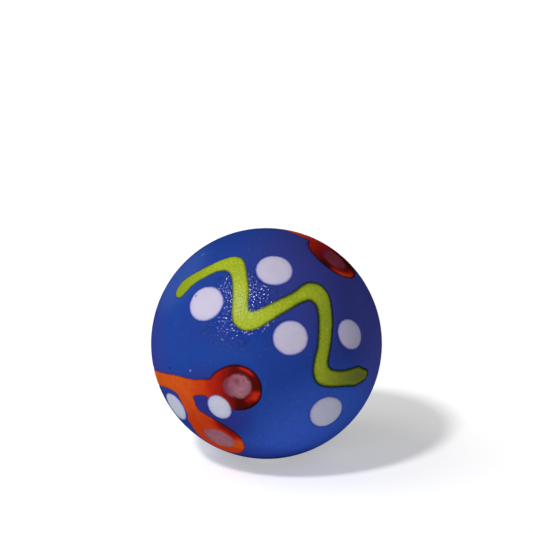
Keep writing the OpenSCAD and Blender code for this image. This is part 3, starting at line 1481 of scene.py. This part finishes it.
@dataclass
class Marble:
    """The whole ball: its layout, and the order in which its pieces are laid."""

    dot_depth: float = 0.9
    thread_depth: float = 0.7
    stem_depth: float = 0.8
    blob_depth: float = 1.5
    eye_depth: float = 0.5
    ball_level: int = 8
    model_level: int = 5

    # White dots: azimuth, elevation, width, stretch and lean
    DOTS = (
        (7.7, 59.6, 4.13, 1.04, 20), (-40.8, 36.3, 4.21, 1.11, 87), (13.1, 22.3, 3.90, 1.06, 89),
        (49.8, 18.0, 3.57, 1.18, -53), (-60.8, -25.2, 4.0, 1.36, 55), (33.9, -20.6, 4.32, 1.28, -49),
        (-25.1, -15.6, 3.02, 1.11, -18), (108, 22, 4.05, 1.05, 30), (82, -52, 4.2, 1.08, -40),
        (10, -82, 4.1, 1.05, 70), (-92, -52, 3.95, 1.06, 10), (-118, 30, 4.15, 1.09, -60),
        (165, 8, 3.1, 1.08, 40), (-142, 10, 4.2, 1.10, 80), (178, -66, 4.0, 1.05, -20),
    )
    # Front thread, from its tip on the left: azimuth, elevation and width
    FRONT_THREAD = (
        (-67.6, 37.2, 2.05), (-67.5, 38.8, 2.3), (-66.7, 40.8, 2.2), (-64.1, 44.7, 1.82),
        (-60.4, 48.3, 1.65), (-56.4, 52.0, 1.62), (-52.4, 55.9, 1.56), (-46.8, 58.8, 1.9),
        (-41.0, 61.0, 2.35), (-34.0, 60.8, 2.45), (-28.2, 58.3, 2.05), (-24.2, 54.9, 1.75),
        (-20.4, 49.9, 1.85), (-18.3, 45.2, 1.92), (-17.2, 39.8, 1.84), (-16.5, 36.2, 1.97),
        (-15.4, 33.7, 2.2), (-13.1, 31.4, 2.38), (-10.2, 30.8, 2.42), (-6.3, 31.5, 2.1),
        (-2.0, 33.4, 1.92), (5.6, 37.1, 1.77), (15.5, 40.5, 1.65), (23.1, 42.9, 1.65),
        (28.6, 44.2, 2.2), (32.4, 44.6, 2.6), (36.2, 43.1, 2.8), (38.2, 40.1, 2.7),
        (37.7, 36.0, 2.42), (36.8, 32.2, 2.0), (35.5, 28.0, 1.98), (33.4, 22.2, 1.9),
        (31.9, 17.5, 1.87), (30.0, 12.7, 1.77), (28.5, 8.6, 1.97), (28.0, 4.0, 2.27),
        (30.0, 0.6, 2.42), (34.0, -1.2, 2.18), (39.0, -2.4, 1.98), (45.3, -3.3, 2.15),
        (51.7, -4.3, 2.47), (56.2, -5.3, 2.16), (58.7, -5.9, 1.42),
    )
    # Pools that fill the front thread's bends
    FRONT_FILLS = ((34.6, 40.3, 1.6), (-15.2, 32.2, 2.0), (30.3, 2.2, 1.9))
    # Corners of the back thread: azimuth and elevation
    BACK_THREAD = ((94, -12), (112, 2), (118, -42), (152, -10), (166, -46), (-158, -18), (-148, -44))
    back_width: float = 1.95
    back_reach: float = 1.5

    def build(self) -> None:
        """Makes every piece and dresses it."""
        ball = bead("ball_outside", BALL_R, Vector(), self.ball_level)
        model = bead("model_bead", 1.0, Vector(), self.model_level)
        dots = self.white_dots(model)
        eyes: list[Eye] = []
        branches: list[RedBranch] = []
        for plan in (LOW_BRANCH, HIGH_BRANCH):
            blobs = self.blobs(plan)
            own = self.eyes(plan, blobs, model)
            branches.append(self.branch(plan, blobs, [*own, *dots]))
            eyes += own
        threads = [
            GreenThread(
                "green_thread_front",
                self.pools(self.FRONT_THREAD, self.thread_depth),
                self.pools(self.FRONT_FILLS, self.thread_depth),
            ),
            GreenThread("green_thread_back", self.back_thread()),
        ]
        layers: list[Sequence[Inlay]] = [dots, threads, eyes, branches]
        forms: dict[str, Piece] = {}
        rims: list[Vector] = []
        for depth, layer in enumerate(layers):
            upper = [inlay for over in layers[:depth] for inlay in over]
            for inlay in layer:
                form = inlay.shape()
                above = [forms[other.node] for other in upper if self.meet(form, forms[other.node])]
                rims += inlay.lay(ball, form, above)
                forms[inlay.node] = form
        casing = Casing()
        casing.build(list(forms.values()), rims)
        discard([ball, model, *forms.values()])
        for inlays, finish in (
            ([casing], BlueGlass()),
            (dots, WhiteGlass()),
            (threads, GreenGlass()),
            (branches, RedGlass()),
            (eyes, PinkGlass()),
        ):
            material = finish.material()
            for inlay in inlays:
                dress_piece(inlay.piece, inlay.node, material)
        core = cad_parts["core"]
        core.data.materials.clear()
        core.data.materials.append(ClearGlass().material())
        LOG.info("core: CAD node in clear glass")

    @staticmethod
    def meet(one: Piece, other: Piece) -> bool:
        """Whether the boxes of two forms overlap."""
        spans = []
        for form in (one, other):
            corners = [Vector(corner) for corner in form.bound_box]
            spans.append([(min(c[i] for c in corners), max(c[i] for c in corners)) for i in range(3)])
        return all(a[0] <= b[1] and b[0] <= a[1] for a, b in zip(*spans))

    @staticmethod
    def pools(stations: Iterable[tuple], depth: float) -> list[Pool]:
        """Turns rows of azimuth, elevation and width into pools."""
        return [Pool(Place(az, el), width, depth) for az, el, width in stations]

    def white_dots(self, model: Piece) -> list[RoundInlay]:
        """The white dots, in their order."""
        made = []
        for i, (az, el, width, stretch, lean) in enumerate(self.DOTS, 1):
            pool = Pool(Place(az, el), width, self.dot_depth)
            made.append(RoundInlay(f"white_dot_{i:02d}", pool, model, stretch, lean))
        return made

    def eyes(self, plan: BranchPlan, blobs: Sequence[Blob], model: Piece) -> list[Eye]:
        """The eyes of one branch.

        Args:
            plan: The branch's layout.
            blobs: The blobs that they are set into.
            model: The bead that they are copied from.

        Returns:
            The eyes.
        """
        made = []
        rows = zip(plan.eyes, plan.eye_arcs, plan.lobes, blobs)
        for i, ((az, el, width, stretch, lean, veil), arcs, lobes, blob) in enumerate(rows, 1):
            pool = Pool(Place(az, el), width, self.eye_depth)
            own = tuple(Arc(*arc) for arc in arcs)
            run_in = self.pools(lobes, self.eye_depth)
            node = f"eye_{plan.name}_{i}"
            made.append(Eye(node, pool, model, stretch, lean, veil, own, run_in, blob))
        return made

    def back_thread(self) -> list[Pool]:
        """The back thread's stations, with straight runs between its corners."""
        corners = [Place(*corner).facing() for corner in self.BACK_THREAD]
        ways = [corners[0]]
        for before, corner, after in zip(corners, corners[1:], corners[2:]):
            for end in (before, None, after):
                share = self.back_reach / BALL_R / (end - corner).length if end else 0.0
                ways.append((corner + ((end or corner) - corner) * share).normalized())
        ways.append(corners[-1])
        made = []
        for way in ways:
            place = Place(math.degrees(math.atan2(way.x, -way.y)), math.degrees(math.asin(way.z)))
            made.append(Pool(place, self.back_width, self.thread_depth))
        return made

    def branch(self, plan: BranchPlan, blobs: Sequence[Blob], inset: Sequence[RoundInlay]) -> RedBranch:
        """One red branch.

        Args:
            plan: Its layout.
            blobs: The blob of each limb.
            inset: The eyes and dots that may be set into it.

        Returns:
            The branch.
        """
        return RedBranch(
            f"red_branch_{plan.name}",
            [self.pools(limb, self.stem_depth) for limb in plan.limbs],
            self.pools(plan.fills, self.stem_depth),
            blobs,
            [pool for inlay in inset for pool in inlay.all_pools()],
        )

    def blobs(self, plan: BranchPlan) -> list[Blob]:
        """The blobs of one branch."""
        made = []
        for (az, el, width, level, side), arcs in zip(plan.blobs, plan.arcs):
            pool = Pool(Place(az, el), width, self.blob_depth)
            made.append(Blob(pool, level, side, tuple(Arc(*arc) for arc in arcs)))
        return made


# Studio

WHITE = (1.0, 1.0, 1.0, 1.0)


@dataclass(frozen=True)
class Lamp:
    """A far lamp.

    Args:
        name: Its name.
        place: Where it stands, seen from the ball.
        level: The level at which it lights a white surface that faces it.
        spread: Its width as an angle, in degrees.
        mirrored: Whether gloss shows it.
    """

    name: str
    place: Place
    level: float
    spread: float
    mirrored: bool = False

    # Where it is drawn, in metres from the ball. Its light comes from afar
    STAND = 0.5

    def build(self) -> None:
        """Adds the lamp."""
        light = bpy.data.lights.new(self.name, "SUN")
        light.energy = self.level * math.pi
        light.angle = math.radians(self.spread)
        lamp = bpy.data.objects.new(self.name, light)
        bpy.context.scene.collection.objects.link(lamp)
        lamp.visible_glossy = self.mirrored
        lamp.location = self.place.facing() * self.STAND
        lamp.rotation_euler = self.place.facing().to_track_quat("Z", "Y").to_euler()


@dataclass
class Studio:
    """Floor, light and camera."""

    lamps: tuple[Lamp, ...] = (
        Lamp("key", Place(-46.5, 55), 0.50, 7.5, mirrored=True),
        Lamp("window", Place(-95, 50), 0.18, 40.0),
        Lamp("front_fill", Place(-30, 6), 0.26, 25.0),
    )
    sky: float = 0.13
    floor_colour: Colour = (0.92, 0.92, 0.92)
    floor_lift: float = 0.40
    floor_size: float = 4.0
    floor_sides: int = 96
    # Camera: distance in metres, elevation in degrees, the image's side, the ball's radius and its
    # drop below the middle in pixels, the sensor's width in millimetres and the clipping distances
    distance: float = 2.0
    elevation: float = 20.0
    image_side: float = 533.0
    ball_pixels: float = 115.5
    drop_pixels: float = 77.0
    sensor: float = 36.0
    clip: tuple[float, float] = (0.01, 20.0)

    def build(self) -> None:
        """Sets up the studio."""
        for lamp in self.lamps:
            lamp.build()
        self.world()
        self.floor()
        self.camera()
        bpy.context.scene.view_settings.view_transform = "Standard"

    @staticmethod
    def seen(work: NodeWork) -> Number:
        """1 for rays of the camera, of gloss and of glass, else 0."""
        path = work.node("ShaderNodeLightPath", {}, {})
        kinds = ("Camera", "Glossy", "Transmission")
        camera, gloss, glass = (Number(work, path.outputs[f"Is {kind} Ray"]) for kind in kinds)
        return camera + gloss + glass > 0.5

    def world(self) -> None:
        """A pale, dim sky."""
        world = bpy.data.worlds.new("studio")
        bpy.context.scene.world = world
        world.use_nodes = True
        work = NodeWork(world.node_tree)
        sky = work.node("ShaderNodeBackground", {}, {"Color": WHITE, "Strength": self.sky})
        work.node("ShaderNodeOutputWorld", {}, {"Surface": sky.outputs[0]})

    def floor(self) -> None:
        """A pale floor under the ball, which keeps its shadow."""
        bpy.ops.object.select_all(action="DESELECT")
        under = (0, 0, -BALL_R * MM)
        bpy.ops.mesh.primitive_circle_add(
            vertices=self.floor_sides, radius=self.floor_size, fill_type="NGON", location=under
        )
        floor = bpy.context.active_object
        floor.name = "floor"
        material, work = new_work("pale_floor")
        matt = work.node("ShaderNodeBsdfDiffuse", {}, {"Color": (*self.floor_colour, 1.0)})
        glow = {"Color": WHITE, "Strength": self.seen(work) * self.floor_lift}
        lift = work.node("ShaderNodeEmission", {}, glow)
        both = work.node("ShaderNodeAddShader", {}, {0: matt.outputs[0], 1: lift.outputs[0]})
        work.node("ShaderNodeOutputMaterial", {}, {"Surface": both.outputs[0]})
        floor.data.materials.append(material)

    def camera(self) -> None:
        """A long lens at the photograph's height, with the ball below the middle."""
        reach = math.tan(math.asin(BALL_R * MM / self.distance))
        focal = self.ball_pixels / reach
        data = bpy.data.cameras.new("camera")
        data.sensor_width = self.sensor
        data.lens = focal * self.sensor / self.image_side
        data.clip_start, data.clip_end = self.clip
        camera = bpy.data.objects.new("camera", data)
        bpy.context.scene.collection.objects.link(camera)
        camera.location = Place(0, self.elevation).facing() * self.distance
        pitch = 90 - self.elevation + math.degrees(math.atan(self.drop_pixels / focal))
        camera.rotation_euler = (math.radians(pitch), 0, 0)
        bpy.context.scene.camera = camera


def main() -> None:
    """Builds the studio and the marble."""
    logging.basicConfig(level=logging.INFO, format="%(name)s: %(message)s")
    Studio().build()
    Marble().build()


if __name__ == "__main__":
    main()
